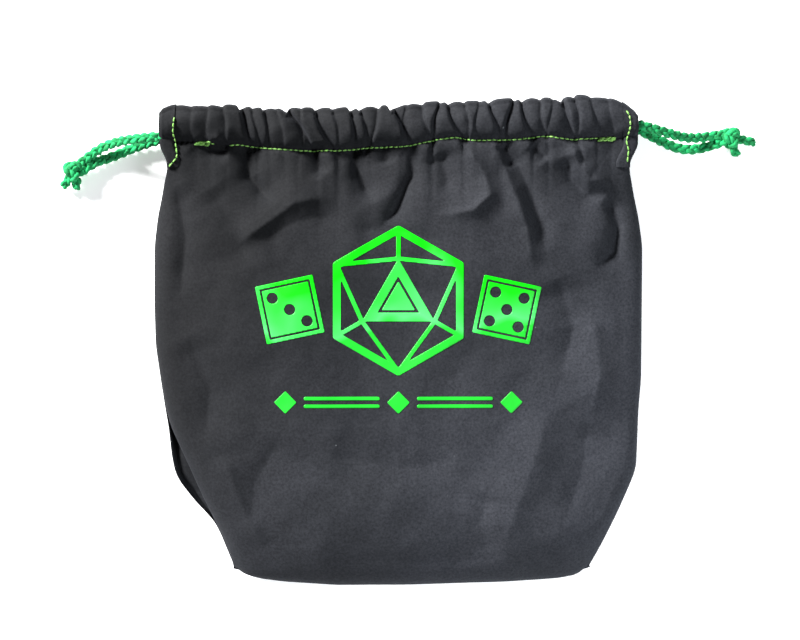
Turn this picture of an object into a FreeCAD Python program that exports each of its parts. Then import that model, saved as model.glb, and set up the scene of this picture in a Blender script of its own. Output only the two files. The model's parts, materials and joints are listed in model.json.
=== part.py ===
"""Drawstring dice bag, lying flat on its back. Millimetres.

X runs along the mouth, Y towards the mouth, Z up from the table. The origin is under the middle
of the bag. Two cords run through the front and back casings, one pulled to each side.
"""
import FreeCAD
import Part
import math
import os

V = FreeCAD.Vector

# Cloth and casings
CLOTH = 0.8
CASING_WALL = 0.6
MOUTH_Y = 109.0
CASING_Y = 88.6
CASING_HALF = 106.0
CASING_HIGH = 6.8
BACK_CASING_Z = 1.6
FRONT_CASING_Z = 15.0
MOUTH_ROUND = 2.4

# Pouch: y, half width, lowest z, highest z. The underside is cut flat at z = 0.
SECTIONS = (
    (CASING_Y, 106.0, 1.4, 21.8),
    (78.0, 106.0, 1.4, 21.8),
    (70.0, 107.5, -0.5, 24.2),
    (60.0, 109.0, -0.5, 26.0),
    (20.0, 109.6, -0.5, 26.0),
    (-18.0, 108.6, -0.5, 26.0),
    (-36.0, 105.6, -0.5, 26.0),
    (-56.0, 101.0, -0.5, 25.0),
    (-76.0, 92.0, -0.5, 22.6),
    (-99.0, 82.0, -0.5, 17.0),
    (-109.9, 76.0, 0.6, 9.6),
)
FRONT_BACK_Z = 11.4
PANEL_TOP = 26.0
SLIT_BOTTOM_Y = 80.0
SLIT_X = 100.0

# Boxed base
BASE_HALF = 79.0
BASE_FOLD_Y = -42.0
BASE_END_Y = -92.0
ALLOWANCE = 9.0
ALLOWANCE_THICK = 1.6

# Hems at the casing ends
HEM_IN, HEM_OUT = 101.0, 107.0
HEM_WALL = 0.6
HEM_GAP = 0.3
HEM_LIFT = 0.7

# Stitches
STITCH_PITCH = 2.5
STITCH_LONG = 1.9
STITCH_WIDE = 0.55
STITCH_HIGH = 0.4
CASING_STITCH_Y = 90.4
STITCH_ROW_HALF = 95.0
BACKTACK_LONG = 6.0
HEM_STITCH_X = 102.4
HEM_STITCH_HIGH = 0.3

# Drawstrings
CORD = 4.6
LEFT_CORD_Y = 93.0
RIGHT_CORD_Y = 98.4
CORD_EXIT_X = 107.0
BIGHT_CLEAR = 0.6
FRONT_RUN_Z = FRONT_CASING_Z + CASING_HIGH / 2
BACK_RUN_Z = BACK_CASING_Z + CASING_HIGH / 2

LEFT_KNOT = V(-147.2, 78.8, 5.2)
RIGHT_KNOT = V(150.2, 94.0, 5.2)
KNOT_SIZE = (9.8, 12.2, 10.0)

LEFT_FRONT_ROUTE = (
    V(-CORD_EXIT_X, LEFT_CORD_Y, FRONT_RUN_Z), V(-118.0, 92.4, 16.0),
    V(-130.5, 90.6, 8.6), V(-138.5, 86.6, 4.6), V(-145.0, 81.0, 4.4),
)
LEFT_BACK_ROUTE = (
    V(-CORD_EXIT_X, LEFT_CORD_Y, BACK_RUN_Z), V(-117.0, 90.6, 3.4),
    V(-129.5, 85.2, 2.8), V(-138.5, 82.6, 3.4), V(-144.6, 77.6, 5.0),
)
RIGHT_FRONT_ROUTE = (
    V(CORD_EXIT_X, RIGHT_CORD_Y, FRONT_RUN_Z), V(117.5, 95.8, 16.4),
    V(129.5, 93.0, 9.4), V(140.0, 94.2, 4.8), V(148.0, 95.4, 5.0),
)
RIGHT_BACK_ROUTE = (
    V(CORD_EXIT_X, RIGHT_CORD_Y, BACK_RUN_Z), V(116.5, 93.6, 3.6),
    V(127.5, 88.4, 2.8), V(138.5, 89.0, 3.2), V(147.6, 92.4, 5.0),
)
LEFT_ENDS = (
    (V(-148.6, 76.2, 4.2), V(-151.6, 71.6, 3.0)),
    (V(-145.4, 75.6, 4.2), V(-146.0, 70.8, 3.0)),
)
RIGHT_ENDS = (
    (V(153.0, 93.4, 4.4), V(161.4, 91.8, 2.8)),
    (V(151.0, 90.4, 4.2), V(153.2, 86.0, 2.8)),
)

# Print on the front
PRINT_HIGH = 0.3
PRINT_LINE = 3.0
PRINT_Y = 20.0
DIE20_RADIUS = 33.0
DIE6_SIDE = 26.0
DIE6_X = 48.0
DIE6_Y = 16.0
PIP_RADIUS = 2.5
BAND_Y = -25.0


def box(x0, x1, y0, y1, z0, z1):
    return Part.makeBox(x1 - x0, y1 - y0, z1 - z0, V(x0, y0, z0))


def stadium(y, half, z0, z1):
    """A flat section with round sides, standing across Y."""
    r = (z1 - z0) / 2
    zm = (z0 + z1) / 2
    flat = half - r
    top = Part.LineSegment(V(-flat, y, z1), V(flat, y, z1))
    right = Part.Arc(V(flat, y, z1), V(half, y, zm), V(flat, y, z0))
    low = Part.LineSegment(V(flat, y, z0), V(-flat, y, z0))
    left = Part.Arc(V(-flat, y, z0), V(-half, y, zm), V(-flat, y, z1))
    return Part.Wire([s.toShape() for s in (top, right, low, left)])


def pouch():
    """The bag's outside and inside as solids."""
    outer = Part.makeLoft([stadium(*s) for s in SECTIONS], True, True)
    inset = []
    for i, (y, half, z0, z1) in enumerate(SECTIONS):
        if i == 0:
            y += 1.0
        if i == len(SECTIONS) - 1:
            y += CLOTH
        low = max(z0, 0.0) + CLOTH
        inset.append(stadium(y, half - CLOTH, low, z1 - CLOTH))
    inner = Part.makeLoft(inset, True, True)
    floor = box(-120, 120, -120, 120, 0, 40)
    return outer.common(floor), inner


def casing(z0):
    """A flat tunnel, open at both ends, with a rounded mouth edge."""
    def bar(half, y0, y1, za, zb, r):
        solid = box(-half, half, y0, y1, za, zb)
        mouth = [
            e for e in solid.Edges
            if abs(e.BoundBox.XLength - 2 * half) < 1e-6 and abs(e.BoundBox.YMax - y1) < 1e-6
        ]
        return solid.makeFillet(r, mouth)

    w = CASING_WALL
    z1 = z0 + CASING_HIGH
    tube = bar(CASING_HALF, CASING_Y, MOUTH_Y, z0, z1, MOUTH_ROUND)
    return tube.cut(bar(CASING_HALF + 1, CASING_Y + w, MOUTH_Y - w, z0 + w, z1 - w, MOUTH_ROUND - w))


def bight_notches():
    """Room for each cord to cross from one casing to the other at its far end."""
    half = CORD / 2 + BIGHT_CLEAR
    z0, z1 = BACK_RUN_Z, FRONT_RUN_Z
    x0 = HEM_OUT - CORD - (z1 - z0) / 2 - 2.0
    right = box(x0, HEM_OUT + 1, LEFT_CORD_Y - half, LEFT_CORD_Y + half, z0, z1)
    left = box(-HEM_OUT - 1, -x0, RIGHT_CORD_Y - half, RIGHT_CORD_Y + half, z0, z1)
    return right.fuse(left)


def hem(side, front, cord_y):
    """A folded hem that laps the casing's end: outer wall, mouth wall and a short inner wall."""
    x0, x1 = sorted((side * HEM_IN, side * HEM_OUT))
    z0 = FRONT_CASING_Z if front else BACK_CASING_Z
    z1 = z0 + CASING_HIGH
    mouth = MOUTH_Y + HEM_GAP
    inner_y = cord_y + CORD / 2 + BIGHT_CLEAR + 0.4
    if front:
        out0, out1 = z1 + HEM_LIFT, z1 + HEM_LIFT + HEM_WALL
        in0, in1 = z0 - HEM_GAP - HEM_WALL, z0 - HEM_GAP
    else:
        out0, out1 = z0 - HEM_LIFT - HEM_WALL, z0 - HEM_LIFT
        in0, in1 = z1 + HEM_GAP, z1 + HEM_GAP + HEM_WALL
    outer = box(x0, x1, SLIT_BOTTOM_Y, mouth + HEM_WALL, out0, out1)
    inner = box(x0, x1, inner_y, mouth + HEM_WALL, in0, in1)
    edge = box(x0, x1, mouth, mouth + HEM_WALL, min(out0, in0), max(out1, in1))
    return outer.fuse([inner, edge]).removeSplitter()


def stitch_row(start, end, z0, z1, pitch, long, wide):
    """Stitches in a straight row, spaced evenly from start to end in the XY plane."""
    count = int((end - start).Length / pitch)
    along = (end - start).normalize()
    turn = math.degrees(math.atan2(along.y, along.x))
    stitches = []
    for i in range(count):
        at = start + along * (pitch * (i + 0.5))
        s = box(-long / 2, long / 2, -wide / 2, wide / 2, z0, z1)
        s.Placement = FreeCAD.Placement(V(at.x, at.y, 0), FreeCAD.Rotation(V(0, 0, 1), turn))
        stitches.append(s)
    return stitches


def casing_stitches(z0, z1):
    a, b = V(-STITCH_ROW_HALF, CASING_STITCH_Y, 0), V(STITCH_ROW_HALF, CASING_STITCH_Y, 0)
    return Part.makeCompound(stitch_row(a, b, z0, z1, STITCH_PITCH, STITCH_LONG, STITCH_WIDE))


def backtacks(z0, z1):
    bars = []
    for side in (-1, 1):
        x = side * (STITCH_ROW_HALF + BACKTACK_LONG / 2)
        bars.append(box(x - BACKTACK_LONG / 2 + 0.3, x + BACKTACK_LONG / 2 - 0.3,
                        CASING_STITCH_Y - 0.8, CASING_STITCH_Y + 0.8, z0, z1))
    return Part.makeCompound(bars)


def hem_stitches(side):
    """One row up the front hem and one up the back hem."""
    a = V(side * HEM_STITCH_X, SLIT_BOTTOM_Y + 1.2, 0)
    b = V(side * HEM_STITCH_X, MOUTH_Y - 1.0, 0)
    front = FRONT_CASING_Z + CASING_HIGH + HEM_LIFT + HEM_WALL
    back = BACK_CASING_Z - HEM_LIFT - HEM_WALL
    rows = stitch_row(a, b, front, front + HEM_STITCH_HIGH, STITCH_PITCH, STITCH_LONG, STITCH_WIDE)
    rows += stitch_row(a, b, back - HEM_STITCH_HIGH + 0.05, back, STITCH_PITCH, STITCH_LONG, STITCH_WIDE)
    return Part.makeCompound(rows)


def sweep(wire, start, heading):
    """A round cord of the drawstring's thickness along a wire."""
    ring = Part.Wire([Part.makeCircle(CORD / 2, start, heading)])
    return wire.makePipeShell([ring], True, True)


def loop(side, y):
    """The cord inside the bag: in at one side, round the far end, and back out."""
    rise = (FRONT_RUN_Z - BACK_RUN_Z) / 2
    mid = (FRONT_RUN_Z + BACK_RUN_Z) / 2
    exit_x = side * CORD_EXIT_X
    turn_x = -side * (HEM_OUT - CORD / 2 - 0.2 - rise)
    far_x = turn_x - side * rise
    front = Part.LineSegment(V(exit_x, y, FRONT_RUN_Z), V(turn_x, y, FRONT_RUN_Z))
    bight = Part.Arc(V(turn_x, y, FRONT_RUN_Z), V(far_x, y, mid), V(turn_x, y, BACK_RUN_Z))
    back = Part.LineSegment(V(turn_x, y, BACK_RUN_Z), V(exit_x, y, BACK_RUN_Z))
    wire = Part.Wire([s.toShape() for s in (front, bight, back)])
    print("bight radius", round(rise, 2), "held round the far hem; loop length", round(wire.Length, 1))
    return sweep(wire, V(exit_x, y, FRONT_RUN_Z), V(-side, 0, 0))


def tube(name, points):
    """Straight runs joined by tangent arcs."""
    pieces = []
    at = points[0]
    radii = []
    for before, corner, after in zip(points, points[1:], points[2:]):
        u = (before - corner).normalize()
        w = (after - corner).normalize()
        half_turn = (math.pi - u.getAngle(w)) / 2
        back = 0.45 * min((before - corner).Length, (after - corner).Length)
        radius = back / math.tan(half_turn)
        a, b = corner + u * back, corner + w * back
        toward = (u + w).normalize()
        middle = corner + toward * (radius / math.cos(half_turn) - radius)
        pieces += [Part.LineSegment(at, a), Part.Arc(a, middle, b)]
        radii.append(round(radius, 1))
        at = b
    pieces.append(Part.LineSegment(at, points[-1]))
    wire = Part.Wire([p.toShape() for p in pieces])
    solid = sweep(wire, points[0], points[1] - points[0])
    ideal = wire.Length * math.pi * CORD ** 2 / 4
    ratio = round(solid.Volume / ideal, 3)
    print(name, "radii", radii, "length", round(wire.Length, 1), "volume ratio", ratio)
    return solid


def knot(centre):
    """An overhand knot's outer size as a rounded lump."""
    a, b, c = KNOT_SIZE
    ball = Part.makeSphere(1.0)
    m = FreeCAD.Matrix()
    m.scale(a / 2, b / 2, c / 2)
    ball = ball.transformGeometry(m)
    ball.translate(centre)
    return ball


def cord_ends(pairs):
    ends = []
    for a, b in pairs:
        ends.append(Part.makeCylinder(CORD / 2 - 0.1, (b - a).Length, a, b - a))
    return Part.makeCompound(ends)


def plate(points):
    """A flat polygon of print on the front panel."""
    pts = [V(x, y, PANEL_TOP) for x, y in points]
    face = Part.Face(Part.makePolygon(pts + [pts[0]]))
    return face.extrude(V(0, 0, PRINT_HIGH))


def ring(points, line):
    """A polygon outline of one line width, its inner edge a smaller copy about the middle."""
    cx = sum(p[0] for p in points) / len(points)
    cy = sum(p[1] for p in points) / len(points)
    reach = max(math.hypot(x - cx, y - cy) for x, y in points)
    k = 1 - line / reach
    hole = plate([(cx + (x - cx) * k, cy + (y - cy) * k) for x, y in points])
    return plate(points).cut(hole)


def polygon(cx, cy, r, n, turn):
    return [
        (cx + r * math.cos(math.radians(turn + 360 * i / n)),
         cy + r * math.sin(math.radians(turn + 360 * i / n)))
        for i in range(n)
    ]


def bar_between(a, b, line):
    """A straight print stroke from a to b."""
    dx, dy = b[0] - a[0], b[1] - a[1]
    n = math.hypot(dx, dy)
    ox, oy = -dy / n * line / 2, dx / n * line / 2
    return plate([(a[0] + ox, a[1] + oy), (b[0] + ox, b[1] + oy),
                  (b[0] - ox, b[1] - oy), (a[0] - ox, a[1] - oy)])


def die20():
    """A twenty-sided die seen on a face: hexagon, filled front face and the edges between."""
    cy = PRINT_Y
    rim = polygon(0, cy, DIE20_RADIUS, 6, 90)
    tri = polygon(0, cy, DIE20_RADIUS * 0.56, 3, 90)
    shape = ring(rim, PRINT_LINE * 1.1)
    strokes = [plate(tri)]
    k = 0.97
    for i, j in ((0, 0), (0, 1), (0, 5), (1, 1), (1, 2), (1, 3), (2, 3), (2, 4), (2, 5)):
        rx, ry = rim[j]
        strokes.append(bar_between(tri[i], (rx * k, cy + (ry - cy) * k), PRINT_LINE * 0.65))
    return shape.fuse(strokes).removeSplitter()


def die6(side, pips):
    """A plain die seen face on, slightly turned, with its round pips left clear."""
    cx, cy = side * DIE6_X, DIE6_Y
    turn = 45 + side * -12
    square = plate(polygon(cx, cy, DIE6_SIDE / math.sqrt(2), 4, turn))
    dots = []
    a = math.radians(turn - 45)
    for u, v in pips:
        x = cx + DIE6_SIDE * 0.25 * (u * math.cos(a) - v * math.sin(a))
        y = cy + DIE6_SIDE * 0.25 * (u * math.sin(a) + v * math.cos(a))
        dots.append(Part.makeCylinder(PIP_RADIUS, PRINT_HIGH, V(x, y, PANEL_TOP)))
    return square.cut(dots)


def band():
    """A row of bars and diamonds below the dice."""
    shapes = [plate(polygon(x, BAND_Y, 5.0, 4, 0)) for x in (-50, 0, 50)]
    for x0, x1 in ((-42, -8), (8, 42)):
        for y in (BAND_Y - 1.7, BAND_Y + 1.7):
            shapes.append(plate([(x0, y - 0.8), (x1, y - 0.8), (x1, y + 0.8), (x0, y + 0.8)]))
    return Part.makeCompound(shapes)


def build():
    outer, inner = pouch()
    shell = outer.cut(inner)
    for side in (-1, 1):
        x0, x1 = sorted((side * SLIT_X, side * 115))
        shell = shell.cut(box(x0, x1, SLIT_BOTTOM_Y, CASING_Y + 1, -1, 40))
    base_zone = box(-BASE_HALF, BASE_HALF, BASE_END_Y, BASE_FOLD_Y, -1, FRONT_BACK_Z).fuse(
        box(-120, 120, -120, BASE_END_Y, -1, FRONT_BACK_Z)
    )
    lower = shell.common(box(-120, 120, -120, 120, -1, FRONT_BACK_Z))
    nodes = {
        "front_panel": shell.common(box(-120, 120, -120, 120, FRONT_BACK_Z, 40)),
        "back_panel": lower.cut(base_zone),
        "base_panel": lower.common(base_zone),
    }

    notches = bight_notches()
    back_z, front_z = BACK_CASING_Z, FRONT_CASING_Z
    front_top = front_z + CASING_HIGH
    nodes["front_casing"] = casing(front_z).cut(notches)
    nodes["back_casing"] = casing(back_z).cut(notches)
    nodes["front_casing_topstitch"] = casing_stitches(front_top, front_top + STITCH_HIGH)
    nodes["back_casing_topstitch"] = casing_stitches(back_z - STITCH_HIGH, back_z)
    nodes["front_casing_backtacks"] = backtacks(front_top, front_top + STITCH_HIGH)
    nodes["back_casing_backtacks"] = backtacks(back_z - STITCH_HIGH, back_z)

    seam_z = FRONT_BACK_Z - ALLOWANCE_THICK / 2
    for side, name in ((-1, "left"), (1, "right")):
        x0, x1 = sorted((side * 99.0, side * 115.0))
        strip = box(x0, x1, BASE_FOLD_Y + 4, SLIT_BOTTOM_Y - 3, seam_z, seam_z + ALLOWANCE_THICK)
        nodes[name + "_side_seam_allowance"] = strip.common(inner)
        x0, x1 = sorted((side * (BASE_HALF - ALLOWANCE), side * BASE_HALF))
        corner = box(x0, x1, BASE_END_Y + 8, BASE_FOLD_Y - 2, 0, CLOTH + ALLOWANCE_THICK)
        nodes[name + "_corner_seam_allowance"] = corner.common(inner)
    bottom = box(-BASE_HALF + ALLOWANCE + 2, BASE_HALF - ALLOWANCE - 2, -120, -96, 4.0, 4.0 + ALLOWANCE_THICK)
    nodes["bottom_seam_allowance"] = bottom.common(inner)

    nodes["emblem_centre"] = die20()
    nodes["emblem_left"] = die6(-1, ((-1, 1), (0, 0), (1, -1)))
    nodes["emblem_right"] = die6(1, ((-1, 1), (1, 1), (0, 0), (-1, -1), (1, -1)))
    nodes["emblem_band"] = band()

    nodes["left_front_hem"] = hem(-1, True, RIGHT_CORD_Y)
    nodes["left_back_hem"] = hem(-1, False, RIGHT_CORD_Y)
    nodes["left_hem_topstitch"] = hem_stitches(-1)
    nodes["right_front_hem"] = hem(1, True, LEFT_CORD_Y)
    nodes["right_back_hem"] = hem(1, False, LEFT_CORD_Y)
    nodes["right_hem_topstitch"] = hem_stitches(1)

    nodes["left_drawstring_loop"] = loop(-1, LEFT_CORD_Y)
    nodes["left_front_tail"] = tube("left front tail", LEFT_FRONT_ROUTE)
    nodes["left_back_tail"] = tube("left back tail", LEFT_BACK_ROUTE)
    nodes["left_knot"] = knot(LEFT_KNOT)
    nodes["left_cord_ends"] = cord_ends(LEFT_ENDS)
    nodes["right_drawstring_loop"] = loop(1, RIGHT_CORD_Y)
    nodes["right_front_tail"] = tube("right front tail", RIGHT_FRONT_ROUTE)
    nodes["right_back_tail"] = tube("right back tail", RIGHT_BACK_ROUTE)
    nodes["right_knot"] = knot(RIGHT_KNOT)
    nodes["right_cord_ends"] = cord_ends(RIGHT_ENDS)
    return nodes


os.makedirs("parts", exist_ok=True)
for name, shape in build().items():
    b = shape.BoundBox
    print(
        f"{name:30s} solids {len(shape.Solids):3d} valid {shape.isValid()} volume {shape.Volume:9.1f}"
        f" x {b.XMin:.1f}..{b.XMax:.1f} y {b.YMin:.1f}..{b.YMax:.1f} z {b.ZMin:.2f}..{b.ZMax:.2f}"
    )
    shape.exportStep(f"parts/{name}.step")
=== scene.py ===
import json
import math

import bpy
import numpy as np
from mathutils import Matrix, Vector

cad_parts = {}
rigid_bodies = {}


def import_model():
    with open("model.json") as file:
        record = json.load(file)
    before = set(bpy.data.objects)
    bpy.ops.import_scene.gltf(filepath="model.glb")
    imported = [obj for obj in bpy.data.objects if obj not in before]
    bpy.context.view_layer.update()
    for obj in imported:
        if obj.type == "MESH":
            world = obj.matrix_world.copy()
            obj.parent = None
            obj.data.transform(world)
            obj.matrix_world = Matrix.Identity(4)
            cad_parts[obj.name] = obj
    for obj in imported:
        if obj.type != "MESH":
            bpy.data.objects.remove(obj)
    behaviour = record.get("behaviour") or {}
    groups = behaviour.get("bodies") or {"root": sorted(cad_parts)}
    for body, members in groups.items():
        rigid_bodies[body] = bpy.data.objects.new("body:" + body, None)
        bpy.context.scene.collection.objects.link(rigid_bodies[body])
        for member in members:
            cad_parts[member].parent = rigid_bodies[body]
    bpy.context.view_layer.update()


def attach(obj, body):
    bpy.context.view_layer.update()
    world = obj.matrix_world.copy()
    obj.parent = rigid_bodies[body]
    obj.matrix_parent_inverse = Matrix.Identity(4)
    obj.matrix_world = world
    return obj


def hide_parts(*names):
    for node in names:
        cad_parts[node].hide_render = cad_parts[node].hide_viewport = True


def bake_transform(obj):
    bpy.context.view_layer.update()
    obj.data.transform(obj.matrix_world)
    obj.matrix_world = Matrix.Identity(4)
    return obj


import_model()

# Lengths below are in millimetres in the row frame, and turn into metres when a mesh is made.
MM = 0.001

CLOTH = 0.8
STITCH_PITCH, THREAD_RADIUS = 2.5, 0.36
SLIT_Y = 80.0

# The bag's outline as seen from above: (y, x) up each side, (share of width, y) along the bottom
LEFT_SIDE = ((-100, -74.2), (-89, -77.8), (-76, -83.9), (-66.7, -88.5), (-56.4, -93), (-45.6, -98),
             (-37, -102), (-29, -104.2), (-15, -106.8), (0, -109), (20, -109.6), (45, -109.5),
             (58, -108), (72, -105), (80, -102.8), (88, -103.6), (110, -103.6))
RIGHT_SIDE = ((-101, 85.3), (-89, 91.6), (-76, 97.9), (-63, 103.7), (-55, 106.8), (-29, 107.8),
              (-15, 109), (45, 109.5), (58, 107.7), (72, 104.6), (80, 102.8), (90, 104), (110, 104))
GUSSET_SIDE = ((-100, -74), (-83, -80.6), (-76.4, -84.6), (-73.6, -88.2), (-64.4, -95.8),
               (-58.7, -99.9), (-50, -101.8), (-37, -103.2), (-29, -104.6))
BOTTOM = ((-1, -99.6), (-0.97, -102.2), (-0.92, -104.2), (-0.84, -105.6), (-0.7, -107),
          (-0.42, -108.4), (0, -108.2), (0.55, -106.8), (0.84, -105.2), (0.93, -103.8),
          (0.975, -101.8), (1, -98.4))

# Heights by y: the front's crown, the side seam
CROWN = ((-110, 23), (-70, 25), (-36, 25.8), (20, 26), (55, 25), (72, 22.5), (80, 20.8), (110, 20.6))
SEAM_FRONT = ((-110, 9), (-80, 10), (0, 11), (66, 11), (78, 16), (82, 17.5), (110, 18))
SEAM_BACK = ((-110, 9), (-80, 10), (0, 11), (66, 11), (78, 6), (82, 4.4), (110, 4))

# The seam of stitches under the front casing, and the mouth's edge, as (x, y)
STITCH_LINE = ((-106, 91), (-88, 90.9), (-80, 89.7), (-76, 88.9), (-72, 90), (-60, 88.1), (-44, 86.9),
               (-26, 87), (-14, 88.3), (3, 88.8), (17, 91.6), (26, 92.8), (32, 91.3), (52, 91.7),
               (65, 93.4), (77, 91.8), (89, 92.6), (106, 92.4))
MOUTH_LINE = ((-107, 103.2), (-104, 105), (-99, 106.6), (-80, 107), (-55, 106.2), (-30, 105.4),
              (0, 107), (30, 108.6), (60, 110), (84, 110.9), (94, 110.2), (99, 108.4),
              (104, 104.5), (108, 101))

# Pleats in the gathered casing: x at the mouth, x at the stitches, depth, width
PLEATS = (
    (-93.0, -91.0, 0.7, 3.0), (-85.5, -84.5, 1.0, 2.6), (-78.0, -76.6, 1.5, 2.2),
    (-71.0, -65.2, 3.4, 2.4), (-64.5, -62.5, 1.3, 1.7), (-59.6, -57.4, 2.2, 2.4),
    (-54.0, -50.6, 1.0, 1.8), (-49.0, -38.0, 3.6, 2.2), (-42.5, -43.5, 0.9, 1.6),
    (-37.5, -29.6, 3.2, 2.8), (-29.0, -26.0, 1.1, 1.8), (-21.0, -19.6, 2.9, 2.3),
    (-17.0, -13.4, 1.9, 1.7), (-8.0, -13.0, 2.1, 1.9), (-3.2, 5.4, 3.8, 2.4),
    (3.6, 1.8, 1.0, 1.6), (10.4, 14.2, 2.2, 2.1), (18.2, 14.8, 1.9, 1.7),
    (21.6, 27.0, 2.8, 2.2), (29.8, 31.0, 1.3, 1.7), (35.4, 34.2, 1.0, 1.6),
    (40.4, 44.2, 2.7, 2.2), (50.8, 46.8, 2.3, 1.9), (54.4, 58.4, 2.8, 2.1),
    (62.4, 65.4, 1.8, 1.8), (68.0, 66.6, 0.9, 1.5), (71.6, 78.8, 3.0, 2.3),
    (78.4, 80.4, 1.8, 1.7), (86.0, 88.4, 1.2, 2.6), (93.6, 95.0, 0.8, 2.8),
)

# Folds in the panel: route, depth (negative stands up), width on the left and on the right of the route
FOLDS = (
    (((-69, 92), (-66.5, 75), (-55, 62)), 3.6, 5.0, 5.0),
    (((-72, 45), (-61, 52.5), (-53, 58.4), (-46, 63.4), (-36, 65.5), (-27, 64)), -1.9, 9.0, 3.2),
    (((-62, 45), (-50, 53), (-38, 57), (-24, 56)), 1.1, 5.0, 8.0),
    (((-38, 90), (-36, 81), (-33, 75)), 2.2, 3.0, 4.0),
    (((-22, 90), (-17.5, 76), (-11, 63)), 4.0, 5.0, 4.2),
    (((-8, 90), (-5, 80)), 1.6, 3.0, 3.0),
    (((5.4, 90), (6.2, 76), (-1, 60), (-8, 52)), 3.2, 5.0, 3.2),
    (((28, 90), (38, 76), (40.4, 67), (33, 60), (18, 57.5)), -2.2, 3.4, 2.6),
    (((18, 86), (22, 74), (20, 66)), 1.8, 6.0, 6.0),
    (((43, 91), (47, 79), (51.8, 66.5), (57, 53), (60, 34)), -2.6, 5.0, 4.2),
    (((50, 88), (57, 72), (61, 58), (65, 42)), 2.8, 4.0, 7.0),
    (((46.6, 90), (51, 79)), 2.0, 1.7, 2.0),
    (((60, 90), (66, 82)), 1.5, 2.0, 3.0),
    (((77, 90), (80, 80), (85, 73.5), (95, 73)), -2.0, 3.0, 2.4),
    (((74, 84), (77, 74), (84, 67), (93, 66)), 2.4, 5.0, 4.0),
    (((92, 66), (98.5, 54), (96, 42), (88, 34)), 2.4, 3.6, 3.0),
    (((-90, 92), (-84, 87), (-75.6, 85.4)), 2.4, 1.2, 2.6),
    (((-78, 92.5), (-84, 91), (-92, 90.4)), -1.1, 1.6, 1.6),
    (((-84, 70), (-72, 52), (-66, 34)), 1.5, 8.0, 9.0),
    (((-100, 72), (-95, 50), (-97, 22)), 2.0, 5.0, 7.0),
    (((-94, 4), (-84, -20), (-86, -44)), 1.4, 8.0, 7.0),
    (((-20, 52), (6, 50), (22, 44)), 1.4, 5.0, 7.0),
    (((70, 30), (78, 8), (72, -14)), 1.6, 8.0, 9.0),
    (((86, 16), (90, -10), (86, -34)), -1.0, 7.0, 6.0),
    (((66, -30), (60, -52), (52, -74), (46, -92)), -1.2, 11.0, 8.0),
    (((40, -64), (36, -80), (42, -98)), 1.2, 9.0, 10.0),
    (((84, -34), (82, -56), (74, -80)), 1.1, 9.0, 9.0),
    (((-52, -40), (-64, -62), (-66, -86)), 1.1, 10.0, 8.0),
    (((-78, -48), (-70, -70), (-60, -90)), -1.2, 7.0, 6.0),
    (((-30, -48), (0, -54), (28, -50)), 0.9, 9.0, 9.0),
    (((-20, -96), (20, -97), (58, -94)), 0.7, 4.0, 5.0),
)

# Drawstrings, the same routes as the CAD's tails
CORD = 4.6
FRONT_RUN_Z, BACK_RUN_Z = 18.4, 5.0
LEFT_CORD_Y, RIGHT_CORD_Y = 93.0, 98.4
LEFT_LOOP_Y, RIGHT_LOOP_Y = 96.3, 100.6
LOOP_SIZE = 4.1
CORD_EXIT_X = 107.0
HEM_OUT = 107.0
ROUTES = {
    "left_front_tail": ((-107, 93, 18.4), (-118, 92.4, 16), (-130.5, 90.6, 8.6),
                        (-138.5, 86.6, 4.6), (-145, 81, 4.4)),
    "left_back_tail": ((-107, 93, 5), (-117, 90.6, 3.4), (-129.5, 85.2, 2.8),
                       (-138.5, 82.6, 3.4), (-144.6, 77.6, 5)),
    "right_front_tail": ((107, 98.4, 18.4), (117.5, 95.8, 16.4), (129.5, 93, 9.4),
                         (140, 94.2, 4.8), (148, 95.4, 5)),
    "right_back_tail": ((107, 98.4, 5), (116.5, 93.6, 3.6), (127.5, 88.4, 2.8),
                        (138.5, 89, 3.2), (147.6, 92.4, 5)),
}
KNOTS = {"left": (-147.2, 78.8, 5.2), "right": (150.2, 94.0, 5.2)}
ENDS = {
    "left": (((-148.6, 76.2, 4.2), (-151.6, 71.6, 3)), ((-145.4, 75.6, 4.2), (-146, 70.8, 3))),
    "right": (((153, 93.4, 4.4), (161.4, 91.8, 2.8)), ((151, 90.4, 4.2), (153.2, 86, 2.8))),
}

# Print
PRINT_Y = 20.0
DIE20_RADIUS = 33.0
DIE6_SIDE, DIE6_X, DIE6_Y = 26.0, 48.0, 16.0
DIE6_MARGIN = 2.5
PIP_RADIUS = 2.5
BAND_Y = -25.0
FILM_ABOVE, FILM_BELOW = 0.16, 0.25


# ---------- small tools ----------

def between(points, at, soft):
    """A line of given (at, value) points, rounded over `soft` millimetres."""
    xs, ys = np.array(points, float).T
    steps = np.linspace(-soft, soft, 9)
    return sum(np.interp(at + o, xs, ys) for o in steps) / len(steps)


def smoothstep(t):
    t = np.clip(t, 0, 1)
    return t * t * (3 - 2 * t)


def noise(x, y, scale, seed):
    """Smooth noise from -1 to 1 with hills about `scale` millimetres apart."""
    table = np.random.RandomState(seed).uniform(-1, 1, (64, 64))
    c, k = math.cos(seed), math.sin(seed)
    gx, gy = (c * x + k * y) / scale + 1000.0, (c * y - k * x) / scale + 1000.0
    ix, iy = np.floor(gx).astype(int), np.floor(gy).astype(int)
    fx, fy = smoothstep(gx - ix), smoothstep(gy - iy)
    a, b = table[ix % 64, iy % 64], table[(ix + 1) % 64, iy % 64]
    c, d = table[ix % 64, (iy + 1) % 64], table[(ix + 1) % 64, (iy + 1) % 64]
    return (a * (1 - fx) + b * fx) * (1 - fy) + (c * (1 - fx) + d * fx) * fy


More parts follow.
